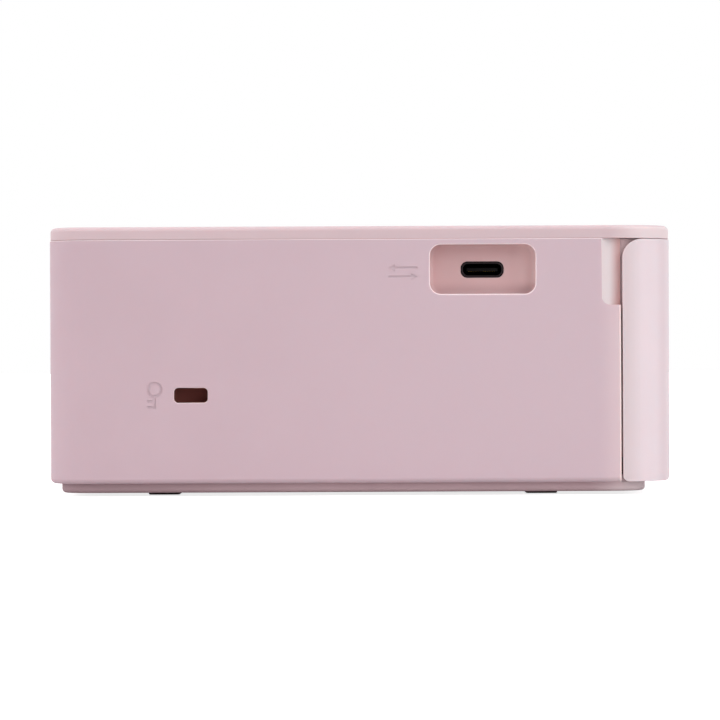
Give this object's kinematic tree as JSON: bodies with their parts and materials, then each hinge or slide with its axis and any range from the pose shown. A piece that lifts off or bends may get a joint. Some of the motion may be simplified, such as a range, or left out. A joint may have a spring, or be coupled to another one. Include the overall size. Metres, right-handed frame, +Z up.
{
  "type": "compact photo printer",
  "caption": "Low box-shaped dye-sublimation photo printer with a drop-down front door, tilting display, keypad, side data socket and a ribbon cassette behind a side door.",
  "frame": {"origin": "middle of the footprint, on the plane the rubber feet stand on", "axes": "+X towards the printer's right side, -Y out of the front door, +Z up"},
  "size_m": [0.182, 0.133, 0.0576],
  "materials": {
    "pink_abs": "fine texture",
    "pink_abs_door": "fine texture",
    "pink_abs_light": "smooth",
    "pink_abs_key": "smooth",
    "dark_plastic": "satin",
    "ivory_plastic": "satin",
    "gear_plastic": "satin",
    "black_plastic": "satin",
    "rubber": "matt",
    "roller_rubber": "matt",
    "steel": "satin",
    "zinc_steel": "zinc plated",
    "aluminium": "anodised",
    "brass": "satin",
    "board": "solder mask",
    "flex": "gloss",
    "film": "gloss",
    "film_used": "gloss",
    "screen_glass": "gloss",
    "lcd": "gloss"
  },
  "bodies": {
    "body": {"base_tray": "pink_abs", "rubber_feet": "rubber", "housing": "pink_abs", "top_cover": "pink_abs", "front_frame": "pink_abs", "display_tray": "pink_abs", "left_side_plate": "zinc_steel", "right_side_plate": "zinc_steel", "bay_roof": "dark_plastic", "rear_guide": "dark_plastic", "usb_shell": "steel", "usb_tongue": "black_plastic", "lock_plate": "zinc_steel", "sd_socket": "zinc_steel", "dc_jack": "black_plastic", "key_board": "board", "main_board": "board", "power_board": "board", "fan_frame": "black_plastic", "feed_motor": "zinc_steel", "ribbon_motor": "zinc_steel", "cassette_shell": "ivory_plastic", "cassette_grip": "ivory_plastic", "ribbon_web": "film", "case_screws": "steel", "display_flex": "flex"},
    "front_door_body": {"front_door": "pink_abs_door", "door_pins": "steel"},
    "ribbon_door_body": {"ribbon_door": "pink_abs"},
    "display": {"display_bezel": "pink_abs", "display_back": "pink_abs", "display_glass": "screen_glass", "lcd_panel": "lcd"},
    "power": {"power_key": "pink_abs_key"},
    "back": {"back_key": "pink_abs_key"},
    "menu": {"menu_key": "pink_abs_key"},
    "up": {"up_key": "pink_abs_key"},
    "down": {"down_key": "pink_abs_key"},
    "left": {"left_key": "pink_abs_key"},
    "right": {"right_key": "pink_abs_key"},
    "ok": {"ok_key": "pink_abs_light"},
    "print": {"print_key": "pink_abs_light"},
    "latch": {"release_lever": "pink_abs_key"},
    "fan": {"fan_rotor": "black_plastic"},
    "capstan": {"capstan_roller": "steel", "capstan_gear": "gear_plastic"},
    "idler": {"idler_gear": "gear_plastic"},
    "reduction": {"reduction_gear": "gear_plastic"},
    "feed_drive": {"feed_pinion": "brass"},
    "pinch": {"pinch_roller": "roller_rubber"},
    "platen": {"platen_roller": "roller_rubber"},
    "arm": {"pickup_arm": "dark_plastic"},
    "pickup": {"pickup_roller": "roller_rubber"},
    "takeup": {"takeup_spool": "film_used", "takeup_gear": "gear_plastic"},
    "supply": {"supply_spool": "film"},
    "ribbon_drive": {"ribbon_pinion": "brass"},
    "head": {"head_carrier": "zinc_steel", "head_bar": "aluminium"},
    "cam": {"head_cam": "gear_plastic"}
  },
  "joints": [
    {"name": "front_door_hinge", "type": "hinge", "parent": "body", "child": "front_door_body", "pos_m": [-0.0215, -0.0634, 0.0044], "axis": [1, 0, 0], "range_deg": [0, 90]},
    {"name": "ribbon_door_hinge", "type": "hinge", "parent": "body", "child": "ribbon_door_body", "pos_m": [0.0898, 0.029, 0.01575], "axis": [0, 1, 0], "range_deg": [0, 90]},
    {"name": "display_tilt", "type": "hinge", "parent": "body", "child": "display", "pos_m": [-0.015, -0.0291, 0.05555], "axis": [1, 0, 0], "range_deg": [0, 45]},
    {"name": "power_press", "type": "slide", "parent": "body", "child": "power", "axis": [0, 0, -1], "range_m": [0, 0.0004], "stiffness_N_per_m": 600, "springref_m": -0.001},
    {"name": "back_press", "type": "slide", "parent": "body", "child": "back", "axis": [0, 0, -1], "range_m": [0, 0.0004], "stiffness_N_per_m": 600, "springref_m": -0.001},
    {"name": "menu_press", "type": "slide", "parent": "body", "child": "menu", "axis": [0, 0, -1], "range_m": [0, 0.0004], "stiffness_N_per_m": 600, "springref_m": -0.001},
    {"name": "up_press", "type": "slide", "parent": "body", "child": "up", "axis": [0, 0, -1], "range_m": [0, 0.0004], "stiffness_N_per_m": 600, "springref_m": -0.001},
    {"name": "down_press", "type": "slide", "parent": "body", "child": "down", "axis": [0, 0, -1], "range_m": [0, 0.0004], "stiffness_N_per_m": 600, "springref_m": -0.001},
    {"name": "left_press", "type": "slide", "parent": "body", "child": "left", "axis": [0, 0, -1], "range_m": [0, 0.0004], "stiffness_N_per_m": 600, "springref_m": -0.001},
    {"name": "right_press", "type": "slide", "parent": "body", "child": "right", "axis": [0, 0, -1], "range_m": [0, 0.0004], "stiffness_N_per_m": 600, "springref_m": -0.001},
    {"name": "ok_press", "type": "slide", "parent": "body", "child": "ok", "axis": [0, 0, -1], "range_m": [0, 0.0004], "stiffness_N_per_m": 600, "springref_m": -0.001},
    {"name": "print_press", "type": "slide", "parent": "body", "child": "print", "axis": [0, 0, -1], "range_m": [0, 0.0004], "stiffness_N_per_m": 600, "springref_m": -0.001},
    {"name": "latch_swing", "type": "hinge", "parent": "body", "child": "latch", "pos_m": [0.0505, 0.0025, 0.029], "axis": [0, 0, -1], "range_deg": [0, 8], "stiffness_Nm_per_rad": 0.02, "springref_deg": -5.73},
    {"name": "fan_spin", "type": "hinge", "parent": "body", "child": "fan", "pos_m": [0.068, 0.061, 0.0378], "axis": [0, 1, 0], "continuous": true},
    {"name": "capstan_spin", "type": "hinge", "parent": "body", "child": "capstan", "pos_m": [-0.0097, -0.002, 0.0126], "axis": [1, 0, 0], "continuous": true},
    {"name": "idler_spin", "type": "hinge", "parent": "body", "child": "idler", "pos_m": [-0.0685, -0.00311, 0.02696], "axis": [1, 0, 0], "continuous": true},
    {"name": "reduction_spin", "type": "hinge", "parent": "body", "child": "reduction", "pos_m": [-0.0097, -0.014, 0.032], "axis": [1, 0, 0], "continuous": true},
    {"name": "feed_pinion_spin", "type": "hinge", "parent": "body", "child": "feed_drive", "pos_m": [-0.0721, -0.03035, 0.03795], "axis": [1, 0, 0], "continuous": true},
    {"name": "pinch_spin", "type": "hinge", "parent": "body", "child": "pinch", "pos_m": [-0.0097, -0.002, 0.02], "axis": [1, 0, 0], "continuous": true},
    {"name": "platen_spin", "type": "hinge", "parent": "body", "child": "platen", "pos_m": [-0.0097, 0.029, 0.0106], "axis": [1, 0, 0], "continuous": true},
    {"name": "pickup_swing", "type": "hinge", "parent": "body", "child": "arm", "pos_m": [-0.0097, -0.014, 0.032], "axis": [1, 0, 0], "range_deg": [0, 30]},
    {"name": "pickup_spin", "type": "hinge", "parent": "arm", "child": "pickup", "pos_m": [-0.0097, -0.03791, 0.03409], "axis": [1, 0, 0], "continuous": true},
    {"name": "takeup_spin", "type": "hinge", "parent": "body", "child": "takeup", "pos_m": [-0.0097, 0.042, 0.032], "axis": [1, 0, 0], "continuous": true},
    {"name": "supply_spin", "type": "hinge", "parent": "body", "child": "supply", "pos_m": [-0.0097, 0.016, 0.032], "axis": [1, 0, 0], "continuous": true},
    {"name": "ribbon_pinion_spin", "type": "hinge", "parent": "body", "child": "ribbon_drive", "pos_m": [-0.0685, 0.0316, 0.04013], "axis": [1, 0, 0], "continuous": true},
    {"name": "head_press", "type": "hinge", "parent": "body", "child": "head", "pos_m": [-0.0097, 0.057, 0.042], "axis": [1, 0, 0], "range_deg": [0, 3], "stiffness_Nm_per_rad": 0.5, "springref_deg": -5.73},
    {"name": "cam_turn", "type": "hinge", "parent": "body", "child": "cam", "pos_m": [-0.0097, 0.046, 0.0487], "axis": [1, 0, 0], "range_deg": [0, 181]}
  ],
  "couplings": [
    {"joint": "idler_spin", "follows": "capstan_spin", "ratio": -1},
    {"joint": "reduction_spin", "follows": "capstan_spin", "ratio": 1.5},
    {"joint": "feed_pinion_spin", "follows": "capstan_spin", "ratio": -4.7143},
    {"joint": "pinch_spin", "follows": "capstan_spin", "ratio": -1.25},
    {"joint": "ribbon_pinion_spin", "follows": "takeup_spin", "ratio": -2.1429},
    {"joint": "cam_turn", "follows": "head_press", "ratio": 60}
  ]
}
